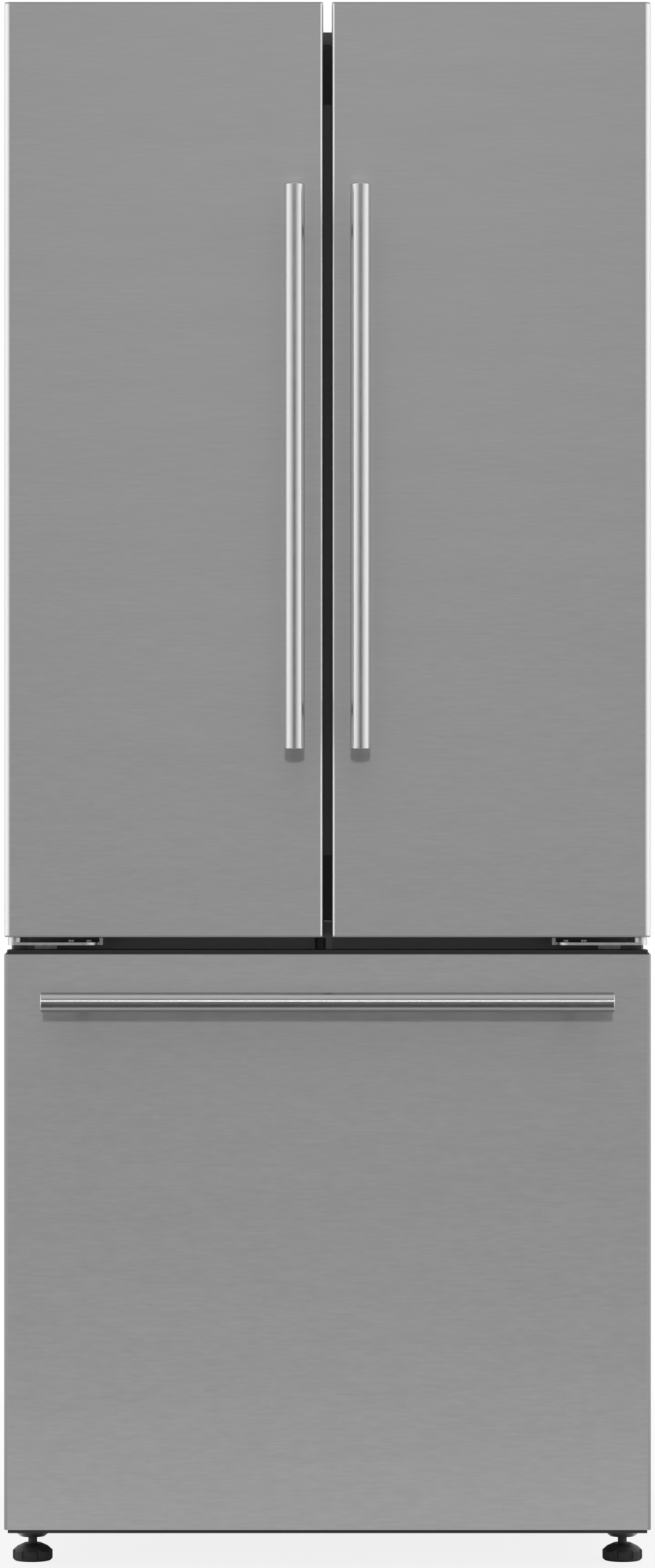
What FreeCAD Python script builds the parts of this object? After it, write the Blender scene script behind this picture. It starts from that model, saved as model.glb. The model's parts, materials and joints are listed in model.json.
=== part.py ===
import FreeCAD
import Part

import math
import os

from FreeCAD import Vector

# A french door refrigerator over a bottom freezer drawer, in millimetres.
# +Z is up, the doors face -Y and +X is to the right of a person who faces the doors.
# The origin is at the middle of the footprint, on the floor.

# Overall sizes
DOORS_WIDTH = 720.0
TOTAL_HEIGHT = 1746.0
DOOR_OVERHANG = 5.0  # doors past each side of the cabinet
CABINET_DEPTH = 615.0
DOOR_RISE = 25.5  # door tops above the cabinet top

# Fronts
DOOR_THICK = 50.0
DOOR_GAP = 9.4  # between the two doors
DRAWER_BOTTOM = 46.0
DRAWER_TOP = 686.4
DOOR_BOTTOM = 705.7
SEAL_GAP = 8.0  # between the back of a door and the cabinet
OUTER_CORNER = 8.0
GAP_CORNER = 4.5
DRAWER_CORNER = 5.0
SKIN = 1.0
CAP_EDGE = 1.5  # of a door's caps, past the ends of its skin
CAP_STEP = 0.4
FOAM_CLEAR = 0.2
PANEL = 2.0  # moulded door liner
CAP = 10.0
LIP_THICK = 12.0  # raised front edge that hides the top hinges
SHOULDER_DROP = 2.5  # door's shoulder below the cabinet top
DRAWER_CAP_RISE = 4.6
DRAWER_CAP_INSET = 4.0
FIELD_RISE = 10.0  # raised middle of the drawer's liner
FIELD_MARGIN = 12.0

# Cabinet
SHEET = 1.0
FLANGE = 18.0
TOP_FLANGE = 14.0
WALL = 46.0  # foam and sheets, side to side
CEILING_DROP = 40.5
LINER = 2.0
LINER_SET_BACK = 3.0
BACK_WALL = 51.0
RAIL_TOP = 721.0
RAIL_HEIGHT = 52.0
RAIL_DEPTH = 30.0
RAIL_SHEET = 1.5
FREEZER_CEILING = 656.0
FREEZER_FLOOR = 108.0
FREEZER_STEP = 338.0
FREEZER_STEP_DEPTH = 362.0
BASE_UNDERSIDE = 36.0
BASE_WALL = 32.0
BASE_SHEET = 2.0
MACHINE_TOP = 288.0
MACHINE_DEPTH = 203.0
REAR_RECESS = 7.0

# Seals
SEAL_WIDTH = 12.0
SEAL_CLEARANCE = 0.3
SEAL_END = 2.3  # from the door's bottom edge to its seal
SEAL_FROM_GAP = 16.5  # from the middle of the cabinet
SEAL_FROM_PIVOT = 1.0
DRAWER_SEAL_INSET = 3.0

# Hinges
PIVOT_SIDE = 11.0  # from the door's outer side
PIVOT_FRONT = 24.0  # from the door's face
PIN_RADIUS = 4.0
PIN_CLEARANCE = 0.05
HINGE_PLATE = 3.0
BOSS_RADIUS = 8.0
PIN_DEPTH = 8.0
PIN_END_CLEAR = 0.5
PAD_FROM_PIVOT = 30.0  # top hinge's pad on the cabinet
PAD_WIDTH = 58.0
PAD_DEPTH = 70.0
PAD_SET_BACK = 4.0  # from the cabinet face
ARM_SLOPE = 3.0
SCREW_HEAD = 4.0
SCREW_HEIGHT = 2.0
SCREW_SOCKET = 1.6
SCREW_INSET = 12.0
COVER_MARGIN = 4.0
COVER_WALL = 2.0
COVER_DROP = 4.0  # below the tops of the doors
COVER_ROUND = 5.0
MIDDLE_DROP = 9.5  # from a door's bottom to the middle hinge's underside
MIDDLE_INWARD = 94.0  # from the pivot
MIDDLE_OUTWARD = 7.0
MIDDLE_FORWARD = 9.0
MIDDLE_ROUND = 16.0
MIDDLE_SCREWS = (62.0, 82.0)  # from the pivot
UPTURN_THICK = 4.0
UPTURN_HEIGHT = 8.0
TAB_INWARD = 45.0  # from the pivot
TAB_WIDTH = 25.0
TAB_THICK = 2.5
WASHER_CLEAR = 1.0

# Handles
BAR_RADIUS = 11.0
BAR_STANDOFF = 38.0
BAR_FROM_GAP = 36.6  # centre of a door's bar from the middle of the cabinet
DOOR_BAR_LENGTH = 625.0
DOOR_BAR_MIDDLE = 1227.0
DRAWER_BAR_LENGTH = 634.0
DRAWER_BAR_DROP = 51.6  # from the drawer's top edge
POST_RADIUS = 6.0
POST_INSET = 45.0
BAR_CHAMFER = 0.8

# Mullion
MULLION_HALF = 29.0
MULLION_THICK = 18.0
MULLION_LIP = 5.0
MULLION_DEEP = 27.0
MULLION_PLATE = 1.0
MULLION_CAP_LOW = 72.0
MULLION_CAP_HIGH = 40.0
MULLION_CLEAR = 1.0
KNUCKLE_RADIUS = 3.2
KNUCKLE_HEIGHT = 30.0
KNUCKLE_CLEAR = 0.4
KNUCKLE_FROM_END = 120.0
LUG_THICK = 6.0
INSERT_HALF = 40.0  # in the cabinet's top edge
HOOK_HALF = 14.0
HOOK_FROM_FACE = 24.0
HOOK_DEPTH = 20.0
WEDGE_LEFT = 14.0  # from the middle of the cabinet
WEDGE_WIDTH = 12.0
WEDGE_DEPTH = 7.0
WEDGE_BOTTOM = 31.0  # below the cross rail's top
WEDGE_HEIGHT = 13.0

# Shelves and drawers inside
SHELF_FRONT = 120.0  # from the cabinet face
SHELF_BACK = 532.0
SHELF_LEVELS = (925.0, 1145.0, 1395.0)
SHELF_FRAME = 18.0
SHELF_FRAME_THICK = 12.0
GLASS = 4.0
LEDGE_WIDTH = 8.0
LEDGE_THICK = 6.0
GLASS_SEAT = 6.0
SHELF_CLEAR = 0.5
CRISPER_FRONT = 107.0  # from the cabinet face
CRISPER_DEPTH = 390.0
CRISPER_HEIGHT = 165.0
CRISPER_MIDDLE = 41.0  # clears the mullion
CRISPER_LIFT = 6.0  # above the floor
DIVIDER_HALF = 6.0
DIVIDER_FOOT = 2.0  # past the crisper's start
PULL_DEPTH = 12.0
PULL_DROP = 16.0
PULL_INSET = 20.0
TUB_WALL = 2.5
LIP = 8.0
RUN_CLEAR = 0.4
DUCT_HALF = 95.0
DUCT_THICK = 16.0
DUCT_MARGIN = 20.0
OUTLET_ROWS = 5
OUTLET_PITCH = 130.0
OUTLET_X = 60.0
OUTLET_HALF = 22.0
OUTLET_HEIGHT = 8.0
LENS_HALF = 120.0
LENS_FROM_FACE = 250.0
LENS_DEPTH = 60.0
LENS_THICK = 7.0
PANEL_HALF = 110.0
PANEL_FROM_FACE = 70.0
PANEL_DEPTH = 70.0
PANEL_THICK = 9.0

# Door bins
BIN_LEVELS = (775.0, 1085.0, 1395.0)
BIN_HEIGHT = 105.0
BIN_DEPTH = 88.0
BIN_FROM_GAP = 61.0
BIN_FROM_SIDE = 62.0
RIB_WIDTH = 14.0
RIB_DEPTH = 42.0
RIB_ROUND = 5.0
RIB_BELOW_BIN = 25.0
RIB_FROM_CEILING = 18.0
BIN_CLEAR = 0.3
BIN_STANDOFF = 0.5
BIN_CUT_IN = 12.0  # of its lowered front
BIN_FRONT_SHARE = 0.75

# Freezer drawer
SLIDE_HEIGHT = 40.0
SLIDE_WIDTH = 12.0
SLIDE_SHEET = 1.6
SLIDE_SET_BACK = 8.0  # from the liner's mouth
SLIDE_LEVEL = 404.0
SLIDE_LENGTH = 405.0
BASKET_FLOOR = 128.0
BASKET_DEPTH = 325.0
BASKET_CLEAR = 0.3
BASKET_SLOTS = 7
BASKET_SLOT = 12.0
BASKET_MARGIN = 40.0
TRAY_FLOOR = 480.0
TRAY_HEIGHT = 110.0
TRAY_DEPTH = 380.0
TRAY_FRONT = 22.0  # from the cabinet face
TRAY_PULL_HALF = 90.0
TRAY_PULL_DEPTH = 8.0
TRAY_PULL_THICK = 6.0
RIM_INSET = 12.0

# Feet and rollers
FOOT_FROM_SIDE = 22.0
FOOT_SETBACK = 90.0  # from the doors' face
KNOB_RADIUS = 22.4
KNOB_HEIGHT = 17.0
KNOB_NOTCH = 3.2
KNOB_NOTCHES = 8
STEM_RADIUS = 5.0
DISH_RADIUS = 22.0
DISH_DEPTH = 9.0
DISH_RIM = 3.0
STEM_SHORT = 8.0  # of the tray's top edge
STEM_CLEAR = 0.1
ROLLER_RADIUS = 16.0
ROLLER_WIDTH = 18.0
ROLLER_FROM_SIDE = 55.0
ROLLER_CHAMFER = 1.5
ROLLER_CLEAR = 1.0
ROLLER_SETBACK = 60.0  # from the back

# Fans
FAN_RADIUS = 50.0
FAN_HUB = 14.0
FAN_THICK = 16.0
FAN_BLADES = 5
FAN_PITCH = 28.0  # degrees
BLADE_HALF = 13.0
BLADE_THICK = 1.8
SHAFT_RADIUS = 2.95
SHAFT_HOLE = 3.0
SHAFT_REACH = 9.0  # into the hub
MOTOR_RADIUS = 20.0
MOTOR_LENGTH = 22.0
FREEZER_FAN_Z = 570.0
FREEZER_FAN_FROM_BACK = 60.0
MACHINE_FAN_X = 10.0
MACHINE_FAN_Z = 150.0
MACHINE_FAN_DEPTH = 105.0  # from the compartment's front wall

# Evaporator and its cover
COVER_PLATE = 3.0
COVER_TO_FAN = 11.0  # from the fan's middle to the plate
GUARD_THICK = 1.5
RETURN_SLOTS = 9
RETURN_PITCH = 60.0
RETURN_HALF = 18.0
RETURN_HEIGHT = 8.0
FIN_THICK = 1.2
FIN_MARGIN = 16.0
TUBE_RADIUS = 4.0
COIL_HALF = 250.0
COIL_CLEAR = 14.0

# Machine compartment
CONDENSER_X = (-160.0, -40.0)
CONDENSER_FROM_FRONT = 60.0
CONDENSER_DEPTH = 90.0
CONDENSER_DROP = 30.0
COMPRESSOR_X = 190.0
COMPRESSOR_FROM_FRONT = 100.0
CAN_RADIUS = 82.0
CAN_BOTTOM = 16.0
CAN_WAIST = 120.0
CAN_TOP = 174.0
CAN_PLATE_HALF = (95.0, 60.0)
CAN_PLATE_THICK = 5.0
BOSS_SPREAD = (82.0, 48.0)
RUBBER_RADIUS = 10.0
RUBBER_HEIGHT = 13.0
STUB_FROM_MIDDLE = 40.0
STUB_HEIGHT = 60.0
PAN_X = (-340.0, -180.0)
PAN_HEIGHT = 34.0
REAR_COVER = 1.5
LOUVRE_ROWS = 4
LOUVRE_COLUMNS = 12
LOUVRE_PITCH = (40.0, 38.0)
LOUVRE = (26.0, 6.0)
LOUVRE_LEFT = -260.0
INLET_HALF = (18.0, 13.0)
INLET_RIM = 4.0
INLET_HEIGHT = 33.0  # above the base
INLET_NOSE = 10.0
INLET_BORE = 4.2

# Places that follow from the sizes above
BAR_FRONT = BAR_STANDOFF + BAR_RADIUS
FRONT = -(BAR_FRONT + DOOR_THICK + SEAL_GAP + CABINET_DEPTH) / 2 + BAR_FRONT
DOOR_BACK = FRONT + DOOR_THICK
FACE = DOOR_BACK + SEAL_GAP
BACK = FACE + CABINET_DEPTH
DOOR_SIDE = DOORS_WIDTH / 2
SIDE = DOOR_SIDE - DOOR_OVERHANG
DOOR_EDGE = DOOR_GAP / 2
CABINET_TOP = TOTAL_HEIGHT - DOOR_RISE
DOOR_SHOULDER = CABINET_TOP - SHOULDER_DROP
INSIDE = SIDE - WALL
CEILING = CABINET_TOP - CEILING_DROP
FRIDGE_FLOOR = RAIL_TOP + LINER
LINER_FRONT = FACE + LINER_SET_BACK
LINER_BACK = BACK - BACK_WALL
MACHINE_FRONT = BACK - MACHINE_DEPTH
RAIL_BOTTOM = RAIL_TOP - RAIL_HEIGHT
BASE_TOP = BASE_UNDERSIDE + BASE_WALL
FREEZER_STEP_Y = LINER_FRONT + FREEZER_STEP_DEPTH
PIVOT_X = DOOR_SIDE - PIVOT_SIDE
PIVOT_Y = FRONT + PIVOT_FRONT
DOOR_SEAL_BOTTOM = DOOR_BOTTOM + SEAL_END
SEAL_FACE = FACE - SEAL_CLEARANCE
DRAWER_BAR_Z = DRAWER_TOP - DRAWER_BAR_DROP
BAR_Y = FRONT - BAR_STANDOFF
MIDDLE_PLATE_Z = DOOR_BOTTOM - MIDDLE_DROP
FOOT_X = SIDE - FOOT_FROM_SIDE
FOOT_Y = FRONT + FOOT_SETBACK
ROLLER_X = SIDE - ROLLER_FROM_SIDE
AXLE_Y = BACK - ROLLER_SETBACK
BASE_FLOOR = BASE_UNDERSIDE + BASE_SHEET


def block(x0, x1, y0, y1, z0, z1):
    """A box between two corners, whichever way round each pair is given."""
    x0, x1 = sorted((x0, x1))
    return Part.makeBox(x1 - x0, y1 - y0, z1 - z0, Vector(x0, y0, z0))


def rod(start, direction, radius, length):
    return Part.makeCylinder(radius, length, Vector(*start), Vector(*direction))


def prism(points, z0, z1):
    """An upright prism over a closed outline of (x, y) points."""
    corners = [Vector(x, y, z0) for x, y in points]
    face = Part.Face(Part.makePolygon(corners + corners[:1]))
    return face.extrude(Vector(0, 0, z1 - z0))


def turned(points, x, y):
    """A solid of revolution about the upright line at (x, y), from (radius, z) points."""
    corners = [Vector(r, 0, z) for r, z in points]
    face = Part.Face(Part.makePolygon(corners + corners[:1]))
    solid = face.revolve(Vector(0, 0, 0), Vector(0, 0, 1), 360)
    solid.translate(Vector(x, y, 0))
    return solid


def joined(shapes):
    whole = shapes[0].multiFuse(shapes[1:]) if len(shapes) > 1 else shapes[0]
    return whole.removeSplitter()


def mirrored(shape):
    """The same piece on the other side of the cabinet."""
    return shape.mirror(Vector(0, 0, 0), Vector(1, 0, 0))


def upright_edges(shape, x, y):
    """The vertical edges of a shape that stand at (x, y)."""
    found = []
    for edge in shape.Edges:
        first = edge.Vertexes[0].Point
        last = edge.Vertexes[-1].Point
        upright = abs(first.z - last.z) > 1
        here = math.hypot(first.x - x, first.y - y) < 0.01
        there = math.hypot(last.x - x, last.y - y) < 0.01
        if upright and here and there:
            found.append(edge)
    return found


def round_edges(shape):
    """The circular edges of a shape."""
    return [edge for edge in shape.Edges if edge.Curve.TypeId == "Part::GeomCircle"]


def slab(x0, x1, y0, y1, z0, z1, radius0, radius1):
    """A slab with its two front upright edges rounded, each by its own radius."""
    shape = block(x0, x1, y0, y1, z0, z1)
    shape = shape.makeFillet(radius0, upright_edges(shape, x0, y0))
    return shape.makeFillet(radius1, upright_edges(shape, x1, y0))


def tub(x0, x1, y0, y1, z0, z1, wall):
    """An open box with a floor, four walls and a small radius on the upright corners."""
    radius = 4 * wall
    outer = block(x0, x1, y0, y1, z0, z1)
    corners = []
    for x in (x0, x1):
        for y in (y0, y1):
            corners += upright_edges(outer, x, y)
    outer = outer.makeFillet(radius, corners)
    inner = block(x0 + wall, x1 - wall, y0 + wall, y1 - wall, z0 + wall, z1 + wall)
    corners = []
    for x in (x0 + wall, x1 - wall):
        for y in (y0 + wall, y1 - wall):
            corners += upright_edges(inner, x, y)
    inner = inner.makeFillet(radius - wall, corners)
    return outer.cut(inner)


def frame(x0, x1, y0, y1, z0, z1, width):
    """An upright picture frame in the XZ plane."""
    hole = block(x0 + width, x1 - width, y0 - 1, y1 + 1, z0 + width, z1 - width)
    return block(x0, x1, y0, y1, z0, z1).cut(hole)


def save(name, *solids):
    shape = solids[0] if len(solids) == 1 else Part.makeCompound(list(solids))
    shape.exportStep("parts/" + name + ".step")


# ---- Cabinet ----


def cabinet_shell():
    """Folded sheet: two sides and the top, with a flange turned in round the front."""
    outer = slab(-SIDE, SIDE, FACE, BACK, BASE_TOP, CABINET_TOP, 3 * SHEET, 3 * SHEET)
    reach = SIDE - SHEET
    inner = slab(
        -reach, reach, FACE + SHEET, BACK + 1, BASE_TOP - 1, CABINET_TOP - SHEET,
        2 * SHEET, 2 * SHEET,
    )
    mouth = block(
        FLANGE - SIDE, SIDE - FLANGE, FACE - 1, FACE + SHEET + 1,
        BASE_TOP - 1, CABINET_TOP - TOP_FLANGE,
    )
    return outer.cut(inner).cut(mouth)


def rear_panel():
    """Flat back sheet, folded forward over the machine compartment and down its front."""
    reach = SIDE - SHEET
    back = block(-reach, reach, BACK - SHEET, BACK, MACHINE_TOP, CABINET_TOP - SHEET)
    shelf = block(-reach, reach, MACHINE_FRONT, BACK, MACHINE_TOP, MACHINE_TOP + SHEET)
    wall = block(
        -reach, reach, MACHINE_FRONT, MACHINE_FRONT + SHEET, BASE_TOP, MACHINE_TOP + SHEET
    )
    return joined([back, shelf, wall])


def mouth(grow):
    """Front of a compartment's space. A space that is cut out runs past the liner's rim."""
    return LINER_FRONT if grow else LINER_FRONT - 1


def fridge_space(grow):
    """The refrigerator compartment, grown outwards by the wall of its liner."""
    return block(
        -INSIDE - grow, INSIDE + grow, mouth(grow), LINER_BACK + grow,
        FRIDGE_FLOOR - grow, CEILING + grow,
    )


def freezer_space(grow):
    """The freezer compartment, stepped up at the back over the machine compartment."""
    start = mouth(grow)
    deep = block(
        -INSIDE - grow, INSIDE + grow, start, FREEZER_STEP_Y + grow,
        FREEZER_FLOOR - grow, FREEZER_CEILING + grow,
    )
    high = block(
        -INSIDE - grow, INSIDE + grow, start, LINER_BACK + grow,
        FREEZER_STEP - grow, FREEZER_CEILING + grow,
    )
    return joined([deep, high])


def ledges(level, front, length, width):
    """A pair of ribs on the side walls, whose top is at the given level."""
    left = block(-INSIDE, -INSIDE + width, front, front + length, level - LEDGE_THICK, level)
    return [left, mirrored(left)]


def fridge_liner():
    reach = SIDE - FLANGE
    rim = block(
        -reach, reach, LINER_FRONT, LINER_FRONT + LINER,
        RAIL_TOP, CABINET_TOP - TOP_FLANGE,
    )
    shapes = [joined([fridge_space(LINER), rim]).cut(fridge_space(0))]
    for level in SHELF_LEVELS:
        under = level - SHELF_FRAME_THICK
        shapes += ledges(under, FACE + SHELF_FRONT, SHELF_BACK - SHELF_FRONT, LEDGE_WIDTH)
    shapes += ledges(crisper_rim() - RUN_CLEAR, FACE + CRISPER_FRONT, CRISPER_DEPTH, LEDGE_WIDTH)
    return joined(shapes)


def freezer_liner():
    reach = SIDE - FLANGE
    rim = block(-reach, reach, LINER_FRONT, LINER_FRONT + LINER, BASE_TOP, RAIL_BOTTOM)
    shapes = [joined([freezer_space(LINER), rim]).cut(freezer_space(0))]
    ledge_top = TRAY_FLOOR + TRAY_HEIGHT - LIP - RUN_CLEAR
    shapes += ledges(ledge_top, FACE + TRAY_FRONT, TRAY_DEPTH, LEDGE_WIDTH + LIP)
    return joined(shapes)


def foam_insulation():
    reach = SIDE - SHEET
    foam = block(
        -reach, reach, LINER_FRONT + LINER, BACK - SHEET, BASE_TOP, CABINET_TOP - SHEET
    )
    machine = block(
        -reach - 1, reach + 1, MACHINE_FRONT, BACK, BASE_TOP - 1, MACHINE_TOP + SHEET
    )
    rail = block(
        -reach - 1, reach + 1, FACE, FACE + RAIL_DEPTH, RAIL_BOTTOM, RAIL_TOP
    )
    foam = foam.cut(fridge_space(LINER)).cut(freezer_space(LINER))
    return foam.cut(machine).cut(rail)


def crossrail():
    """Steel channel between the two compartments, open at the back."""
    reach = SIDE - FLANGE
    outer = block(-reach, reach, FACE, FACE + RAIL_DEPTH, RAIL_BOTTOM, RAIL_TOP)
    inner = block(
        -reach - 1, reach + 1, FACE + RAIL_SHEET, FACE + RAIL_DEPTH + 1,
        RAIL_BOTTOM + RAIL_SHEET, RAIL_TOP - RAIL_SHEET,
    )
    # the freezer liner's rim ends in a slot across the lower flange
    slot = block(
        -reach - 1, reach + 1, LINER_FRONT, LINER_FRONT + LINER, RAIL_BOTTOM - 1, RAIL_BOTTOM
    )
    return outer.cut(inner).cut(slot)


def base_tray():
    """Folded tray under the cabinet, with holes for the stems of the feet."""
    outer = block(-SIDE, SIDE, FACE, BACK, BASE_UNDERSIDE, BASE_TOP)
    inner = block(
        BASE_SHEET - SIDE, SIDE - BASE_SHEET, FACE + BASE_SHEET, BACK - BASE_SHEET,
        BASE_FLOOR, BASE_TOP + 1,
    )
    tray = outer.cut(inner)
    for side in (-1, 1):
        start = (side * FOOT_X, FOOT_Y, BASE_UNDERSIDE - 1)
        tray = tray.cut(rod(start, (0, 0, 1), STEM_RADIUS + 1, BASE_SHEET + 2))
    return tray


def roller_bracket(side):
    """Bent strap under the tray: two ears, the web between them and the roller's axle."""
    half = ROLLER_WIDTH / 2 + ROLLER_CLEAR
    x = side * ROLLER_X
    y0 = AXLE_Y - ROLLER_RADIUS
    y1 = AXLE_Y + ROLLER_RADIUS
    low = ROLLER_RADIUS - 2 * PIN_RADIUS
    reach = half + BASE_SHEET
    web = block(x - reach, x + reach, y0, y1, BASE_UNDERSIDE - BASE_SHEET, BASE_UNDERSIDE)
    ears = [block(x + face * half, x + face * reach, y0, y1, low, BASE_UNDERSIDE) for face in (-1, 1)]
    axle = rod((x - reach, AXLE_Y, ROLLER_RADIUS), (1, 0, 0), PIN_RADIUS - PIN_CLEARANCE, 2 * reach)
    return joined([web, axle] + ears)


def foot_brackets():
    """Dished nut plates under the tray, one for each foot."""
    hole = STEM_RADIUS + STEM_CLEAR
    profile = [
        (hole, BASE_UNDERSIDE),
        (hole, BASE_UNDERSIDE - DISH_DEPTH),
        (DISH_RADIUS - DISH_DEPTH + 1, BASE_UNDERSIDE - DISH_DEPTH),
        (DISH_RADIUS - 1, BASE_UNDERSIDE - DISH_RIM),
        (DISH_RADIUS, BASE_UNDERSIDE - DISH_RIM),
        (DISH_RADIUS, BASE_UNDERSIDE),
    ]
    return [turned(profile, side * FOOT_X, FOOT_Y) for side in (-1, 1)]


def foot(side):
    """Scalloped knob with a domed top, on a stem that screws into the tray."""
    bevel = 2.0
    crown = 2 * STEM_RADIUS
    top = BASE_TOP - STEM_SHORT
    profile = [
        (0, 0),
        (KNOB_RADIUS - bevel, 0),
        (KNOB_RADIUS, bevel),
        (KNOB_RADIUS, KNOB_HEIGHT - 3 * bevel),
        (KNOB_RADIUS - 2.5 * bevel, KNOB_HEIGHT - 0.75 * bevel),
        (crown, KNOB_HEIGHT + bevel),
        (STEM_RADIUS, KNOB_HEIGHT + bevel),
        (STEM_RADIUS, top),
        (0, top),
    ]
    knob = turned(profile, side * FOOT_X, FOOT_Y)
    ring = KNOB_RADIUS + 1
    for turn in range(KNOB_NOTCHES):
        angle = 2 * math.pi * (turn + 0.5) / KNOB_NOTCHES
        x = side * FOOT_X + ring * math.cos(angle)
        y = FOOT_Y + ring * math.sin(angle)
        knob = knob.cut(rod((x, y, 1.5 * bevel), (0, 0, 1), KNOB_NOTCH, KNOB_HEIGHT))
    return knob


def roller(side):
    start = (side * ROLLER_X - ROLLER_WIDTH / 2, AXLE_Y, ROLLER_RADIUS)
    wheel = rod(start, (1, 0, 0), ROLLER_RADIUS, ROLLER_WIDTH)
    wheel = wheel.makeChamfer(ROLLER_CHAMFER, round_edges(wheel))
    hole = rod((start[0] - 1, start[1], start[2]), (1, 0, 0), PIN_RADIUS, ROLLER_WIDTH + 2)
    return wheel.cut(hole)


# ---- Hinges ----


def screw(x, y, z):
    """A round-headed screw that stands on a plate."""
    head = rod((x, y, z), (0, 0, 1), SCREW_HEAD, SCREW_HEIGHT)
    return head.cut(rod((x, y, z + SCREW_HEIGHT / 2), (0, 0, 1), SCREW_SOCKET, SCREW_HEIGHT))


def hinge_pad():
    """Sides and ends of the right top hinge's pad on the cabinet: x0, x1, y0, y1."""
    x1 = PIVOT_X - PAD_FROM_PIVOT
    y0 = FACE + PAD_SET_BACK
    return x1 - PAD_WIDTH, x1, y0, y0 + PAD_DEPTH


def top_hinge():
    """Right top hinge: plate on the cabinet top, an arm inboard of the pivot, and its pin."""
    x0, x1, y0, y1 = hinge_pad()
    half = BOSS_RADIUS - 1
    outline = [
        (PIVOT_X - ARM_SLOPE, PIVOT_Y + half),
        (x1, y0),
        (x1, y1),
        (x0, y1),
        (x0, y0),
        (PIVOT_X - ARM_SLOPE, PIVOT_Y - half),
    ]
    top = CABINET_TOP + HINGE_PLATE
    plate = prism(outline, CABINET_TOP, top)
    boss = rod((PIVOT_X, PIVOT_Y, CABINET_TOP), (0, 0, 1), BOSS_RADIUS, HINGE_PLATE)
    low = DOOR_SHOULDER - PIN_DEPTH
    pin = rod((PIVOT_X, PIVOT_Y, low), (0, 0, 1), PIN_RADIUS, top - low)
    return joined([plate, boss, pin])


def top_hinge_screws():
    x0, x1, y0, y1 = hinge_pad()
    top = CABINET_TOP + HINGE_PLATE
    solids = []
    for x in (x0 + SCREW_INSET, x1 - SCREW_INSET):
        for y in (y0 + SCREW_INSET, y1 - SCREW_INSET):
            solids.append(screw(x, y, top))
    return solids


def top_hinge_cover():
    """Moulded cap over the hinge's pad, open underneath and towards the door."""
    x0, x1, y0, y1 = hinge_pad()
    x0 -= COVER_MARGIN
    x1 += COVER_MARGIN
    y0 -= COVER_MARGIN
    y1 += 2 * COVER_MARGIN
    top = TOTAL_HEIGHT - COVER_DROP
    outer = block(x0, x1, y0, y1, CABINET_TOP, top)
    outer = outer.makeFillet(COVER_ROUND, [e for e in outer.Edges if e.CenterOfMass.z > CABINET_TOP + 1])
    inner = block(
        x0 + COVER_WALL, x1 - COVER_WALL, y0 - 1, y1 - COVER_WALL, CABINET_TOP - 1, top - COVER_WALL
    )
    return outer.cut(inner)


def middle_hinge():
    """Right middle hinge: arm under the door with its pin, and a tab on the cross rail."""
    z0 = MIDDLE_PLATE_Z
    z1 = z0 + HINGE_PLATE
    inner = PIVOT_X - MIDDLE_INWARD
    outer = PIVOT_X + MIDDLE_OUTWARD
    front = PIVOT_Y - MIDDLE_FORWARD
    arm = block(inner, outer, front, FACE, z0, z1)
    arm = arm.makeFillet(MIDDLE_ROUND, upright_edges(arm, inner, front))
    arm = arm.makeFillet(MIDDLE_OUTWARD - 1, upright_edges(arm, outer, front))
    pin = rod((PIVOT_X, PIVOT_Y, z0), (0, 0, 1), PIN_RADIUS, DOOR_BOTTOM + PIN_DEPTH - z0)
    washer_top = DOOR_BOTTOM - WASHER_CLEAR
    washer = rod((PIVOT_X, PIVOT_Y, z0), (0, 0, 1), BOSS_RADIUS, washer_top - z0)
    tab_x = PIVOT_X - TAB_INWARD
    tab = block(tab_x, tab_x + TAB_WIDTH, FACE - TAB_THICK, FACE, z0 - BOSS_RADIUS, z1)
    upturn = block(
        inner - UPTURN_THICK, inner, PIVOT_Y + UPTURN_THICK, FACE, z0, z0 + UPTURN_HEIGHT
    )
    return joined([arm, pin, washer, tab, upturn])


def middle_hinge_screws():
    top = MIDDLE_PLATE_Z + HINGE_PLATE
    return [screw(PIVOT_X - inward, FACE - SCREW_INSET, top) for inward in MIDDLE_SCREWS]


def mullion_guides():
    """Insert under the cabinet's top edge, the hook below it, and a wedge on the cross rail."""
    top = CABINET_TOP - TOP_FLANGE
    insert = block(
        -INSERT_HALF, INSERT_HALF, FACE + SEAL_CLEARANCE, LINER_FRONT, CEILING + 1, top
    )
    hook_y = FACE + HOOK_FROM_FACE
    hook = block(-HOOK_HALF, HOOK_HALF, hook_y, hook_y + HOOK_DEPTH, CEILING - HOOK_HALF, CEILING)
    taper = WEDGE_WIDTH / 4
    outline = [
        (-WEDGE_LEFT, FACE),
        (WEDGE_WIDTH - WEDGE_LEFT, FACE),
        (WEDGE_WIDTH - WEDGE_LEFT - taper, FACE - WEDGE_DEPTH),
        (taper - WEDGE_LEFT, FACE - WEDGE_DEPTH),
    ]
    low = RAIL_TOP - WEDGE_BOTTOM
    return [insert, hook, prism(outline, low, low + WEDGE_HEIGHT)]


# ---- Doors ----


def door_outline(y0, y1, z0, z1, inset):
    """Right door's plan, with rounded front edges, shrunk by an inset on the front and sides."""
    return slab(
        DOOR_EDGE + inset, DOOR_SIDE - inset, y0 + inset, y1, z0, z1,
        max(GAP_CORNER - inset, 0.5), OUTER_CORNER - inset,
    )


def behind_lip(z0, z1):
    """The space over the door's shoulder, behind its raised front edge."""
    return block(DOOR_EDGE - 1, DOOR_SIDE + 1, FRONT + LIP_THICK, DOOR_BACK + 1, z0, z1)


def pivot_hole(z0, z1):
    return rod((PIVOT_X, PIVOT_Y, z0), (0, 0, 1), PIN_RADIUS + PIN_CLEARANCE, z1 - z0)


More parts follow.
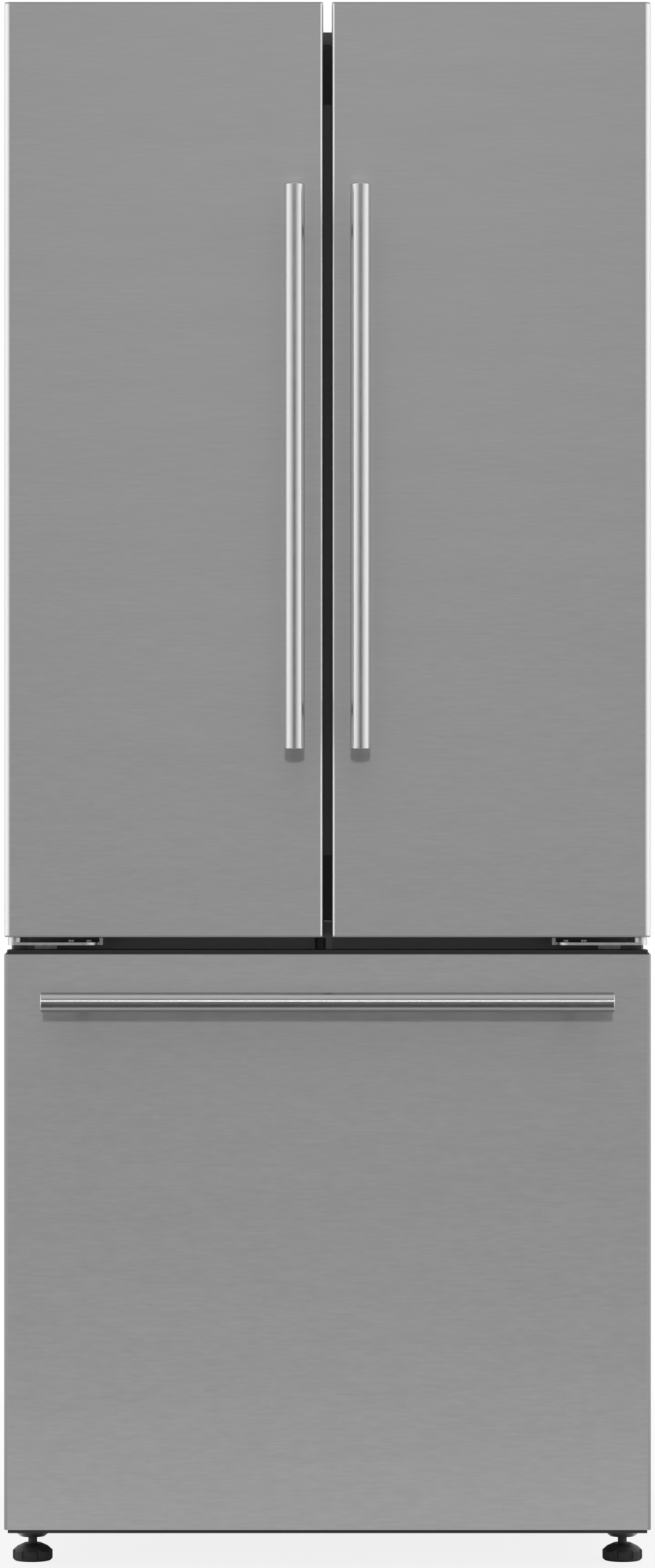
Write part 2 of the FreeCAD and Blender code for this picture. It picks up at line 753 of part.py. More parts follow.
def door_skin():
    """Stainless sheet folded round the front and both sides of the right door."""
    top = TOTAL_HEIGHT - CAP_EDGE
    bottom = DOOR_BOTTOM + CAP_EDGE
    rear = DOOR_BACK - PANEL
    outer = door_outline(FRONT, rear, bottom, top, 0)
    inner = door_outline(FRONT, rear + 1, bottom - 1, top + 1, SKIN)
    return outer.cut(inner).cut(behind_lip(DOOR_SHOULDER - CAP_EDGE, top + 1))


def door_caps():
    """Top cap with its raised lip, and bottom cap, each bored for its hinge pin."""
    rear = DOOR_BACK - PANEL
    lip_low = TOTAL_HEIGHT - CAP_EDGE
    top = joined([
        door_outline(FRONT, rear, DOOR_SHOULDER - CAP, lip_low, SKIN),
        door_outline(FRONT, rear, lip_low, TOTAL_HEIGHT, CAP_STEP),
    ])
    top = top.cut(behind_lip(DOOR_SHOULDER, TOTAL_HEIGHT + 1))
    shoulder_low = DOOR_SHOULDER - CAP_EDGE
    shoulder = door_outline(FRONT, rear, shoulder_low, DOOR_SHOULDER, CAP_STEP)
    shoulder = shoulder.common(behind_lip(shoulder_low, DOOR_SHOULDER))
    top = joined([top, shoulder])
    depth = PIN_DEPTH + PIN_END_CLEAR
    top = top.cut(pivot_hole(DOOR_SHOULDER - depth, DOOR_SHOULDER + 1))
    edge_top = DOOR_BOTTOM + CAP_EDGE
    bottom = joined([
        door_outline(FRONT, rear, edge_top, DOOR_BOTTOM + CAP, SKIN),
        door_outline(FRONT, rear, DOOR_BOTTOM, edge_top, CAP_STEP),
    ])
    bottom = bottom.cut(pivot_hole(DOOR_BOTTOM - 1, DOOR_BOTTOM + depth))
    return [top, bottom]


def rib_places():
    """Where the right door's two upright ribs stand, across the door."""
    outer = DOOR_SIDE - BIN_FROM_SIDE
    return [(BIN_FROM_GAP, BIN_FROM_GAP + RIB_WIDTH), (outer - RIB_WIDTH, outer)]


def door_liner():
    """Moulded inner panel with two ribs that carry the bins."""
    panel = block(
        DOOR_EDGE + 1, DOOR_SIDE - 1, DOOR_BACK - PANEL, DOOR_BACK,
        DOOR_BOTTOM + 1, DOOR_SHOULDER - 1,
    )
    shapes = [panel]
    tip = DOOR_BACK + RIB_DEPTH
    low = BIN_LEVELS[0] - RIB_BELOW_BIN
    for x0, x1 in rib_places():
        rib = block(x0, x1, DOOR_BACK - PANEL, tip, low, CEILING - RIB_FROM_CEILING)
        shapes.append(rib.makeFillet(RIB_ROUND, [e for e in rib.Edges if e.CenterOfMass.y > tip - 1]))
    return joined(shapes)


def door_foam():
    return door_outline(
        FRONT + FOAM_CLEAR, DOOR_BACK - PANEL, DOOR_BOTTOM + CAP, DOOR_SHOULDER - CAP,
        SKIN + FOAM_CLEAR,
    )


def door_seal():
    return frame(
        SEAL_FROM_GAP, PIVOT_X - SEAL_FROM_PIVOT, DOOR_BACK, SEAL_FACE,
        DOOR_SEAL_BOTTOM, DOOR_SHOULDER - 1, SEAL_WIDTH,
    )


def tube_handle(start, direction, length, post_starts):
    """Closed tube and its two posts, which run back to the front's face."""
    bar = rod(start, direction, BAR_RADIUS, length)
    bar = bar.makeChamfer(BAR_CHAMFER, round_edges(bar))
    posts = [rod(place, (0, 1, 0), POST_RADIUS, BAR_STANDOFF).cut(bar) for place in post_starts]
    return [bar] + posts


def door_handle():
    low = DOOR_BAR_MIDDLE - DOOR_BAR_LENGTH / 2
    levels = (low + POST_INSET, low + DOOR_BAR_LENGTH - POST_INSET)
    places = [(BAR_FROM_GAP, BAR_Y, z) for z in levels]
    return tube_handle((BAR_FROM_GAP, BAR_Y, low), (0, 0, 1), DOOR_BAR_LENGTH, places)


def door_bins():
    """Three equal bins that sit between the ribs, with lowered fronts."""
    (_, x0), (x1, _) = rib_places()
    front = DOOR_BACK + BIN_DEPTH
    solids = []
    for level in BIN_LEVELS:
        top = level + BIN_HEIGHT
        tray = tub(x0 + BIN_CLEAR, x1 - BIN_CLEAR, DOOR_BACK + BIN_STANDOFF, front, level, top, TUB_WALL)
        low_front = block(
            x0 + BIN_CUT_IN, x1 - BIN_CUT_IN, front - BIN_CUT_IN, front + 1,
            level + BIN_FRONT_SHARE * BIN_HEIGHT, top + 1,
        )
        solids.append(tray.cut(low_front))
    return solids


# ---- Mullion on the left door ----


def mullion_span():
    return FRIDGE_FLOOR + MULLION_CLEAR, CEILING - MULLION_CLEAR


def mullion_body():
    """Bar that is deep on its hinged half, with a thin lip behind the other door."""
    z0, z1 = mullion_span()
    y0 = FACE + MULLION_PLATE
    rear = FACE + MULLION_THICK
    deep = block(-MULLION_HALF, MULLION_DEEP - MULLION_HALF, y0, rear, z0, z1)
    deep = deep.makeFillet(MULLION_THICK / 6, upright_edges(deep, -MULLION_HALF, rear))
    lip = block(-MULLION_HALF, MULLION_HALF, y0, FACE + MULLION_LIP, z0, z1)
    low = block(-MULLION_HALF, MULLION_HALF, FACE, y0, z0, z0 + MULLION_CAP_LOW)
    high = block(-MULLION_HALF, MULLION_HALF, FACE, y0, z1 - MULLION_CAP_HIGH, z1)
    return joined([deep, lip, low, high])


def mullion_plate():
    """Steel face that the magnetic seals of both doors pull on."""
    z0, z1 = mullion_span()
    return block(
        -MULLION_HALF, MULLION_HALF, FACE, FACE + MULLION_PLATE,
        z0 + MULLION_CAP_LOW, z1 - MULLION_CAP_HIGH,
    )


def mullion_hinges():
    """Two lugs on the left door's liner, beside the mullion's pivot."""
    x = -MULLION_HALF - KNUCKLE_RADIUS - KNUCKLE_CLEAR
    y = FACE + LUG_THICK - 2
    half = KNUCKLE_HEIGHT / 2
    lug_x = -MULLION_HALF - LUG_THICK / 2
    solids = []
    for z in (RAIL_TOP + KNUCKLE_FROM_END, CEILING - KNUCKLE_FROM_END):
        arm = block(lug_x - LUG_THICK, lug_x, DOOR_BACK, y, z - half, z + half)
        knuckle = rod((x, y, z - half), (0, 0, 1), KNUCKLE_RADIUS, KNUCKLE_HEIGHT)
        solids.append(joined([arm, knuckle]))
    return solids


# ---- Shelves, crispers and fittings of the refrigerator ----


def shelf_frames():
    """Plastic rims round the glass of each shelf; the lowest also holds the crispers' divider."""
    half = INSIDE - SHELF_CLEAR
    y0 = FACE + SHELF_FRONT
    y1 = FACE + SHELF_BACK
    step = SHELF_FRAME - GLASS_SEAT
    solids = []
    for level in SHELF_LEVELS:
        z0 = level - SHELF_FRAME_THICK
        rim = block(-half, half, y0, y1, z0, level)
        hole = block(
            SHELF_FRAME - half, half - SHELF_FRAME, y0 + SHELF_FRAME, y1 - SHELF_FRAME,
            z0 - 1, level + 1,
        )
        seat = block(step - half, half - step, y0 + step, y1 - step, level - GLASS, level + 1)
        rim = rim.cut(hole).cut(seat)
        if level == SHELF_LEVELS[0]:
            rim = joined([rim, crisper_divider(y0, y1, z0)])
        solids.append(rim)
    return solids


def crisper_divider(y0, y1, z1):
    """Hanging T section between the crispers, whose foot carries their inner rims."""
    top = crisper_rim() - RUN_CLEAR
    low = top - LEDGE_THICK
    half = CRISPER_MIDDLE + DIVIDER_FOOT
    web = block(-DIVIDER_HALF, DIVIDER_HALF, y0, y1, low, z1)
    return joined([web, block(-half, half, y0, y1, low, top)])


def shelf_glass():
    step = SHELF_FRAME - GLASS_SEAT
    half = INSIDE - SHELF_CLEAR - step
    y0 = FACE + SHELF_FRONT + step
    y1 = FACE + SHELF_BACK - step
    return [block(-half, half, y0, y1, level - GLASS, level) for level in SHELF_LEVELS]


def crisper_rim():
    """Underside of the rims that the crispers hang by."""
    return FRIDGE_FLOOR + CRISPER_LIFT + CRISPER_HEIGHT - TUB_WALL


def crisper():
    """Right crisper: tub with side rims and a finger pull moulded along its front."""
    x0 = CRISPER_MIDDLE + 2 * DIVIDER_FOOT
    x1 = INSIDE - LEDGE_WIDTH - 1
    y0 = FACE + CRISPER_FRONT
    y1 = y0 + CRISPER_DEPTH
    z0 = FRIDGE_FLOOR + CRISPER_LIFT
    z1 = z0 + CRISPER_HEIGHT
    body = tub(x0, x1, y0, y1, z0, z1, TUB_WALL)
    rim = block(
        x0 - 3 * DIVIDER_FOOT, x1 + LEDGE_WIDTH - 1, y0 + LIP, y1 - LIP, z1 - TUB_WALL, z1
    )
    rim = rim.cut(block(x0 + 1, x1 - 1, y0, y1, z1 - 2 * TUB_WALL, z1 + 1))
    front = y0 - PULL_DEPTH
    left = x0 + PULL_INSET
    right = x1 - PULL_INSET
    pull = block(left, right, front, y0 + 1, z1 - PULL_DROP / 4, z1)
    pull_lip = block(left, right, front, front + PULL_DEPTH / 4, z1 - PULL_DROP, z1)
    return joined([body, rim, pull, pull_lip])


def air_duct_cover():
    """Raised panel up the middle of the back wall, with rows of outlet slots."""
    z0 = SHELF_LEVELS[0] + DUCT_MARGIN
    z1 = CEILING - 2 * DUCT_MARGIN
    y0 = LINER_BACK - DUCT_THICK
    panel = block(-DUCT_HALF, DUCT_HALF, y0, LINER_BACK, z0, z1)
    panel = panel.makeFillet(DUCT_THICK * 3 / 8, [e for e in panel.Edges if e.CenterOfMass.y < y0 + 1])
    for row in range(OUTLET_ROWS):
        z = z0 + 3 * DUCT_MARGIN + OUTLET_PITCH * row
        for x in (-OUTLET_X, OUTLET_X):
            panel = panel.cut(
                block(x - OUTLET_HALF, x + OUTLET_HALF, y0 - 1, y0 + DUCT_THICK / 2, z, z + OUTLET_HEIGHT)
            )
    return panel


def ceiling_piece(half, from_face, depth, thick):
    """A moulded piece under the ceiling, rounded round its lower edges."""
    y0 = FACE + from_face
    low = CEILING - thick
    piece = block(-half, half, y0, y0 + depth, low, CEILING)
    return piece.makeFillet(thick * 0.44, [e for e in piece.Edges if e.CenterOfMass.z < low + 1])


def light_lens():
    return ceiling_piece(LENS_HALF, LENS_FROM_FACE, LENS_DEPTH, LENS_THICK)


def control_panel():
    return ceiling_piece(PANEL_HALF, PANEL_FROM_FACE, PANEL_DEPTH, PANEL_THICK)


# ---- Freezer ----


def drawer_outline(y0, y1, z0, z1, inset):
    return slab(
        inset - DOOR_SIDE, DOOR_SIDE - inset, y0 + inset, y1, z0, z1,
        DRAWER_CORNER - inset, DRAWER_CORNER - inset,
    )


def drawer_skin():
    rear = DOOR_BACK - PANEL
    outer = drawer_outline(FRONT, rear, DRAWER_BOTTOM, DRAWER_TOP, 0)
    inner = drawer_outline(FRONT, rear + 1, DRAWER_BOTTOM - 1, DRAWER_TOP + 1, SKIN)
    return outer.cut(inner)


def drawer_caps():
    """Black top cap in two steps, and a bottom cap set in under the skin."""
    rear = DOOR_BACK - PANEL
    step_top = DRAWER_TOP + CAP_EDGE
    top = joined([
        drawer_outline(FRONT, rear, DRAWER_TOP - CAP, DRAWER_TOP, SKIN),
        drawer_outline(FRONT, rear, DRAWER_TOP, step_top, CAP_EDGE),
        drawer_outline(FRONT + 2 * SKIN, rear, step_top, DRAWER_TOP + DRAWER_CAP_RISE, 2 * CAP_EDGE),
    ])
    bottom = joined([
        drawer_outline(FRONT, rear, DRAWER_BOTTOM, DRAWER_BOTTOM + CAP, SKIN),
        drawer_outline(FRONT, rear, DRAWER_BOTTOM - DRAWER_CAP_INSET, DRAWER_BOTTOM, DRAWER_CAP_INSET),
    ])
    return [top, bottom]


def drawer_liner():
    """Flat inner panel with a raised field that enters the freezer's mouth."""
    half = DOOR_SIDE - 1
    panel = block(
        -half, half, DOOR_BACK - PANEL, DOOR_BACK, DRAWER_BOTTOM + 1, DRAWER_TOP - 1
    )
    reach = INSIDE - 2 * FIELD_MARGIN
    rear = DOOR_BACK + FIELD_RISE
    field = block(
        -reach, reach, DOOR_BACK - PANEL, rear,
        FREEZER_FLOOR + FIELD_MARGIN, FREEZER_CEILING - FIELD_MARGIN,
    )
    field = field.makeFillet(FIELD_RISE * 0.6, [e for e in field.Edges if e.CenterOfMass.y > rear - 1])
    return joined([panel, field])


def drawer_foam():
    return drawer_outline(
        FRONT + FOAM_CLEAR, DOOR_BACK - PANEL, DRAWER_BOTTOM + CAP, DRAWER_TOP - CAP,
        SKIN + FOAM_CLEAR,
    )


def drawer_seal():
    half = SIDE - DRAWER_SEAL_INSET
    low = DRAWER_BOTTOM + DRAWER_SEAL_INSET + 1
    return frame(-half, half, DOOR_BACK, SEAL_FACE, low, DRAWER_TOP - DRAWER_SEAL_INSET, SEAL_WIDTH)


def drawer_handle():
    left = -DRAWER_BAR_LENGTH / 2
    places = [(x, BAR_Y, DRAWER_BAR_Z) for x in (left + POST_INSET, -left - POST_INSET)]
    return tube_handle((left, BAR_Y, DRAWER_BAR_Z), (1, 0, 0), DRAWER_BAR_LENGTH, places)


def slide_start():
    """Inner side and front end of the right slide's fixed member."""
    return INSIDE - SLIDE_WIDTH, LINER_FRONT + SLIDE_SET_BACK


def slide_half(member):
    """Half the height of the fixed (0), middle (1) or moving (2) member of a slide."""
    return SLIDE_HEIGHT / 2 - member * (SLIDE_SHEET + RUN_CLEAR)


def slide_channel(x0, x1, y0, length, half):
    """Channel on its side, open towards the middle of the cabinet."""
    low = SLIDE_LEVEL - half
    high = SLIDE_LEVEL + half
    outer = block(x0, x1, y0, y0 + length, low, high)
    inner = block(
        x0 - 1, x1 - SLIDE_SHEET, y0 - 1, y0 + length + 1, low + SLIDE_SHEET, high - SLIDE_SHEET
    )
    return outer.cut(inner)


def rails_fixed():
    x0, y0 = slide_start()
    right = slide_channel(x0, INSIDE, y0, SLIDE_LENGTH, slide_half(0))
    return [mirrored(right), right]


def rails_middle():
    x0, y0 = slide_start()
    x1 = INSIDE - SLIDE_SHEET - RUN_CLEAR
    right = slide_channel(x0 - 1, x1, y0 + 1, SLIDE_LENGTH - 5, slide_half(1))
    return [mirrored(right), right]


def rails_moving():
    """Inner members, fixed to the drawer front and carrying the basket's rims."""
    x0, y0 = slide_start()
    half = slide_half(2)
    x1 = INSIDE - 2 * (SLIDE_SHEET + RUN_CLEAR)
    bar = block(
        x0 - SLIDE_WIDTH / 2, x1, DOOR_BACK, y0 + SLIDE_LENGTH - SLIDE_WIDTH / 2,
        SLIDE_LEVEL - half, SLIDE_LEVEL + half,
    )
    return [mirrored(bar), bar]


def hanging_rims(half, y0, y1, z):
    """Flat rims along both sides of a tub, which it hangs by."""
    return [
        block(side * (half - 1), side * (half + LIP), y0, y1, z, z + TUB_WALL) for side in (-1, 1)
    ]


def drawer_basket():
    """Deep basket with slotted sides, hung by its rims on the moving slides."""
    half = INSIDE - SLIDE_WIDTH - LIP - 2
    y0 = DOOR_BACK + FIELD_RISE + BASKET_CLEAR
    y1 = y0 + BASKET_DEPTH
    rim_z = SLIDE_LEVEL + slide_half(2)
    body = tub(-half, half, y0, y1, BASKET_FLOOR, rim_z + TUB_WALL, TUB_WALL)
    pitch = (BASKET_DEPTH - 2 * BASKET_MARGIN) / BASKET_SLOTS
    for n in range(BASKET_SLOTS):
        y = y0 + BASKET_MARGIN + n * pitch
        slot = block(
            -half - 1, half + 1, y, y + BASKET_SLOT,
            BASKET_FLOOR + 1.5 * BASKET_MARGIN, rim_z - BASKET_MARGIN,
        )
        body = body.cut(slot)
    return joined([body] + hanging_rims(half, y0 + RIM_INSET + 2, y1 - RIM_INSET, rim_z))


def freezer_tray():
    """Shallow upper tray that hangs by its rims on the freezer's ledges."""
    half = INSIDE - LEDGE_WIDTH - LIP - 1
    y0 = FACE + TRAY_FRONT
    y1 = y0 + TRAY_DEPTH
    z1 = TRAY_FLOOR + TRAY_HEIGHT
    body = tub(-half, half, y0, y1, TRAY_FLOOR, z1, TUB_WALL)
    pull = block(
        -TRAY_PULL_HALF, TRAY_PULL_HALF, y0 - TRAY_PULL_DEPTH, y0 + 1, z1 - TRAY_PULL_THICK, z1
    )
    return joined([body, pull] + hanging_rims(half, y0 + RIM_INSET, y1 - RIM_INSET, z1 - LIP))


def fan_centre():
    """Middle of the evaporator fan, in its opening in the freezer's duct cover."""
    return 0.0, LINER_BACK - FREEZER_FAN_FROM_BACK, FREEZER_FAN_Z


def freezer_duct_cover():
    """Plate in front of the evaporator, with the fan's opening and a row of return slots."""
    x, y, z = fan_centre()
    y1 = y - COVER_TO_FAN
    y0 = y1 - COVER_PLATE
    plate = block(-INSIDE, INSIDE, y0, y1, FREEZER_STEP, FREEZER_CEILING)
    plate = plate.cut(rod((x, y0 - 1, z), (0, 1, 0), FAN_RADIUS + 2, COVER_PLATE + 2))
    slot_z = FREEZER_STEP + RETURN_HEIGHT + 2
    for n in range(RETURN_SLOTS):
        slot_x = RETURN_PITCH * (n - (RETURN_SLOTS - 1) / 2)
        plate = plate.cut(
            block(slot_x - RETURN_HALF, slot_x + RETURN_HALF, y0 - 1, y, slot_z, slot_z + RETURN_HEIGHT)
        )
    guard_y = y1 - GUARD_THICK
    shapes = [plate, rod((x, guard_y, z), (0, 1, 0), FAN_HUB, GUARD_THICK)]
    reach = FAN_RADIUS + 4
    for n in range(4):
        spoke = block(-reach, reach, guard_y, y1, z - GUARD_THICK, z + GUARD_THICK)
        spoke.rotate(Vector(x, y, z), Vector(0, 1, 0), 45 * n)
        shapes.append(spoke)
    return joined(shapes)


def finned_coil(x0, x1, y0, y1, z0, z1, fins, tubes):
    """Tubes that run across a stack of plates, joined by bends at alternate ends."""
    shapes = []
    pitch = (x1 - x0 - 2 * FIN_MARGIN) / (fins - 1)
    for n in range(fins):
        x = x0 + FIN_MARGIN + pitch * n
        shapes.append(block(x - FIN_THICK / 2, x + FIN_THICK / 2, y0, y1, z0, z1))
    y = (y0 + y1) / 2
    step = (z1 - z0) / tubes
    for n in range(tubes):
        z = z0 + step * (n + 0.5)
        shapes.append(rod((x0, y, z), (1, 0, 0), TUBE_RADIUS, x1 - x0))
        if n:
            x = x0 if n % 2 else x1
            low = (x, y, z - step - TUBE_RADIUS)
            shapes.append(rod(low, (0, 0, 1), TUBE_RADIUS, step + 2 * TUBE_RADIUS))
    return joined(shapes)


def evaporator():
    x, y, z = fan_centre()
    top = z - FAN_RADIUS - COIL_CLEAR
    return finned_coil(
        x - COIL_HALF, x + COIL_HALF, y + 2, LINER_BACK, FREEZER_STEP + COIL_CLEAR, top, 26, 4
    )


def condenser_coil():
    x0, x1 = CONDENSER_X
    y0 = MACHINE_FRONT + CONDENSER_FROM_FRONT
    top = MACHINE_TOP - CONDENSER_DROP
    return finned_coil(x0, x1, y0, y0 + CONDENSER_DEPTH, BASE_FLOOR, top, 14, 5)


def condenser_fan_centre():
    return MACHINE_FAN_X, MACHINE_FRONT + MACHINE_FAN_DEPTH, MACHINE_FAN_Z


def fan():
    """Hub with pitched blades, turning about +Y, centred on the origin."""
    rear = FAN_THICK / 2
    shapes = [rod((0, -rear, 0), (0, 1, 0), FAN_HUB, FAN_THICK)]
    for n in range(FAN_BLADES):
        blade = block(
            -BLADE_HALF, BLADE_HALF, -BLADE_THICK / 2, BLADE_THICK / 2, FAN_HUB - 2, FAN_RADIUS
        )
        blade.rotate(Vector(0, 0, 0), Vector(0, 0, 1), FAN_PITCH)
        blade.rotate(Vector(0, 0, 0), Vector(0, 1, 0), 360 / FAN_BLADES * n)
        shapes.append(blade)
    limit = rod((0, -rear, 0), (0, 1, 0), FAN_RADIUS, FAN_THICK)
    hole = rod((0, rear - SHAFT_REACH - 1, 0), (0, 1, 0), SHAFT_HOLE, SHAFT_REACH + 2)
    return joined(shapes).common(limit).cut(hole)


def evaporator_fan():
    whole = fan()
    whole.translate(Vector(*fan_centre()))
    return whole


def condenser_fan():
    whole = fan()
    whole.rotate(Vector(0, 0, 0), Vector(0, 0, 1), -90)
    whole.translate(Vector(*condenser_fan_centre()))
    return whole


def motor(back, along):
    """Shaft and can of a fan's motor, from the fan's rear face at back, along an axis."""
    shaft_start = Vector(*back) - Vector(*along) * SHAFT_REACH
    can_start = Vector(*back) + Vector(*along)
    shaft = rod(shaft_start, along, SHAFT_RADIUS, SHAFT_REACH + 3)
    return [shaft, rod(can_start, along, MOTOR_RADIUS, MOTOR_LENGTH)]


def fan_motors():
    """A motor behind each fan, with its shaft in the hub, on a bracket."""
    x, y, z = fan_centre()
    back = y + FAN_THICK / 2
    front = back + MOTOR_LENGTH - 5
    reach = 3 * MOTOR_RADIUS
    sheet = 3.0
    arm = block(x - reach, x + reach, front, front + 2 * sheet, z - 8, z + 8)
    stand = block(x - reach, x + reach, front, LINER_BACK, z - 8, z + 8)
    inside = reach - 10
    stand = stand.cut(block(x - inside, x + inside, front - 1, LINER_BACK - sheet, z - 9, z + 9))
    first = joined(motor((x, back, z), (0, 1, 0)) + [arm, stand])
    x, y, z = condenser_fan_centre()
    back = x + FAN_THICK / 2
    post = block(back + 5, back + 17, y - 12, y + 12, BASE_FLOOR, z)
    return [first, joined(motor((back, y, z), (1, 0, 0)) + [post])]


def compressor():
    """Domed can on a plate with four rubber-foot bosses."""
    x = COMPRESSOR_X
    y = MACHINE_FRONT + COMPRESSOR_FROM_FRONT
    z = BASE_FLOOR
    profile = [
        (0, z + CAN_BOTTOM),
        (CAN_RADIUS - 8, z + CAN_BOTTOM),
        (CAN_RADIUS, z + CAN_BOTTOM + 14),
        (CAN_RADIUS, z + CAN_WAIST),
        (CAN_RADIUS - 12, z + CAN_WAIST + 30),
        (CAN_RADIUS / 2, z + CAN_TOP - 6),
        (0, z + CAN_TOP),
    ]
    plate_x, plate_y = CAN_PLATE_HALF
    low = z + RUBBER_HEIGHT - 1
    shapes = [
        turned(profile, x, y),
        block(x - plate_x, x + plate_x, y - plate_y, y + plate_y, low, low + CAN_PLATE_THICK),
    ]
    spread_x, spread_y = BOSS_SPREAD
    for dx in (-spread_x, spread_x):
        for dy in (-spread_y, spread_y):
            shapes.append(rod((x + dx, y + dy, z), (0, 0, 1), RUBBER_RADIUS, RUBBER_HEIGHT))
    stub = (x - STUB_FROM_MIDDLE, y, z + CAN_WAIST + 20)
    shapes.append(rod(stub, (0, 0, 1), TUBE_RADIUS, STUB_HEIGHT))
    return joined(shapes)


def drain_pan():
    x0, x1 = PAN_X
    y0 = MACHINE_FRONT + RIM_INSET
    return tub(x0, x1, y0, BACK - 20, BASE_FLOOR, BASE_FLOOR + PAN_HEIGHT, TUB_WALL)


def machine_cover():
    """Louvred plate that closes the back of the machine compartment."""
    reach = SIDE - SHEET
    y1 = BACK - REAR_RECESS
    y0 = y1 - REAR_COVER
    plate = block(-reach, reach, y0, y1, BASE_TOP + 2, MACHINE_TOP - 1)
    pitch_x, pitch_z = LOUVRE_PITCH
    width, height = LOUVRE
    for row in range(LOUVRE_ROWS):
        for column in range(LOUVRE_COLUMNS):
            x = LOUVRE_LEFT + pitch_x * column
            z = BASE_TOP + pitch_x + pitch_z * row
            plate = plate.cut(block(x, x + width, y0 - 1, y1 + 1, z, z + height))
    return plate.cut(inlet_hole())


def inlet_centre():
    return INSIDE - INLET_HALF[0], BASE_TOP + INLET_HEIGHT


def inlet_hole():
    x, z = inlet_centre()
    half_x, half_z = INLET_HALF
    return block(x - half_x, x + half_x, BACK - 20, BACK + 1, z - half_z, z + half_z)


def power_inlet():
    """Gland where the supply lead enters, set in the machine cover."""
    x, z = inlet_centre()
    half_x, half_z = INLET_HALF
    face = BACK - REAR_RECESS
    body = block(x - half_x, x + half_x, BACK - 18, face, z - half_z, z + half_z)
    rim_x = half_x + INLET_RIM
    rim_z = half_z + INLET_RIM
    rim = block(x - rim_x, x + rim_x, face, face + 2, z - rim_z, z + rim_z)
    nose = rod((x, face, z), (0, 1, 0), INLET_NOSE, REAR_RECESS)
    return joined([body, rim, nose]).cut(rod((x, BACK - 24, z), (0, 1, 0), INLET_BORE, 30))


def main():
    os.makedirs("parts", exist_ok=True)

    save("cabinet_shell", cabinet_shell())
    save("rear_panel", rear_panel())
    save("foam_insulation", foam_insulation())
    save("fridge_liner", fridge_liner())
    save("freezer_liner", freezer_liner())
    save("crossrail", crossrail())
    sides = ((-1, "left"), (1, "right"))
    brackets = [roller_bracket(side) for side, _ in sides]
    save("base_frame", base_tray(), *brackets, *foot_brackets())
    for side, name in sides:
        save("foot_" + name, foot(side))
        save("roller_" + name, roller(side))

    right_hinge = top_hinge()
    screws = top_hinge_screws()
    save(
        "top_hinges", mirrored(right_hinge), right_hinge,
        *screws, *[mirrored(s) for s in screws],
    )
    save("top_hinge_covers", mirrored(top_hinge_cover()), top_hinge_cover())
    right_hinge = middle_hinge()
    screws = middle_hinge_screws()
    save(
        "middle_hinges", mirrored(right_hinge), right_hinge,
        *screws, *[mirrored(s) for s in screws],
    )
    save("mullion_guides", *mullion_guides())

    doors = (("left", mirrored), ("right", lambda shape: shape))
    for name, place in doors:
        save(name + "_door_skin", place(door_skin()))
        save(name + "_door_caps", *[place(s) for s in door_caps()])
        save(name + "_door_liner", place(door_liner()))
        save(name + "_door_foam", place(door_foam()))
        save(name + "_door_gasket", place(door_seal()))
        save(name + "_door_handle", *[place(s) for s in door_handle()])
        save(name + "_door_bins", *[place(s) for s in door_bins()])
        save("crisper_" + name, place(crisper()))

    save("mullion_body", mullion_body())
    save("mullion_plate", mullion_plate())
    save("mullion_hinges", *mullion_hinges())

    save("shelf_frames", *shelf_frames())
    save("shelf_glass", *shelf_glass())
    save("air_duct_cover", air_duct_cover())
    save("light_lens", light_lens())
    save("control_panel", control_panel())

    save("drawer_skin", drawer_skin())
    save("drawer_caps", *drawer_caps())
    save("drawer_liner", drawer_liner())
    save("drawer_foam", drawer_foam())
    save("drawer_gasket", drawer_seal())
    save("drawer_handle", *drawer_handle())
    save("drawer_rails_fixed", *rails_fixed())
    save("drawer_rails_middle", *rails_middle())
    save("drawer_rails_moving", *rails_moving())
    save("drawer_basket", drawer_basket())
    save("freezer_tray", freezer_tray())

    save("freezer_duct_cover", freezer_duct_cover())
    save("evaporator", evaporator())
    save("evaporator_fan", evaporator_fan())
    save("fan_motors", *fan_motors())
    save("condenser_fan", condenser_fan())
    save("condenser_coil", condenser_coil())
    save("compressor", compressor())
    save("drain_pan", drain_pan())
    save("machine_cover", machine_cover())
    save("power_inlet", power_inlet())


main()
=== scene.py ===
import json
import math

import bmesh
import bpy
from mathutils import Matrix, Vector


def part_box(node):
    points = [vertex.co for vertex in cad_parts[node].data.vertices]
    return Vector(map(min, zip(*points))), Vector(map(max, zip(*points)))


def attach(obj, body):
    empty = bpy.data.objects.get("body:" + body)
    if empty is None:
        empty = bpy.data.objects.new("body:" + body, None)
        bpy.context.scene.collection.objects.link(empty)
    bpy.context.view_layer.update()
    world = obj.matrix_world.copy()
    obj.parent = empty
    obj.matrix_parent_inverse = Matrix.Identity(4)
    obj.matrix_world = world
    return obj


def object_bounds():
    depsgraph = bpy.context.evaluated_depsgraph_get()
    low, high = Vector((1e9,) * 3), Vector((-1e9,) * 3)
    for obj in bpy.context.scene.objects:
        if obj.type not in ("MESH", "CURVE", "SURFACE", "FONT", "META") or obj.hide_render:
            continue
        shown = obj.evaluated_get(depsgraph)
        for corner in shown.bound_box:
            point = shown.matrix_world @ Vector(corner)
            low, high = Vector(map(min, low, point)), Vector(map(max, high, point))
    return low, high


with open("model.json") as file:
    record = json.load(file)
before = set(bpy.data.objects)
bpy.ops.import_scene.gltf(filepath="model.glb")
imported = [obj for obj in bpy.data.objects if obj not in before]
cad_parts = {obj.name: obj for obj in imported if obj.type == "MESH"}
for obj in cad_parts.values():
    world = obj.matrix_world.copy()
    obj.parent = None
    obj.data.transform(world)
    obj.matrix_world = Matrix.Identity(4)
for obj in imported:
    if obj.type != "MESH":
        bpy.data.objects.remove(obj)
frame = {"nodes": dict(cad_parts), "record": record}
CAD_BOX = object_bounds()
NODES = frame["nodes"]
SOCKET = bpy.types.NodeSocket

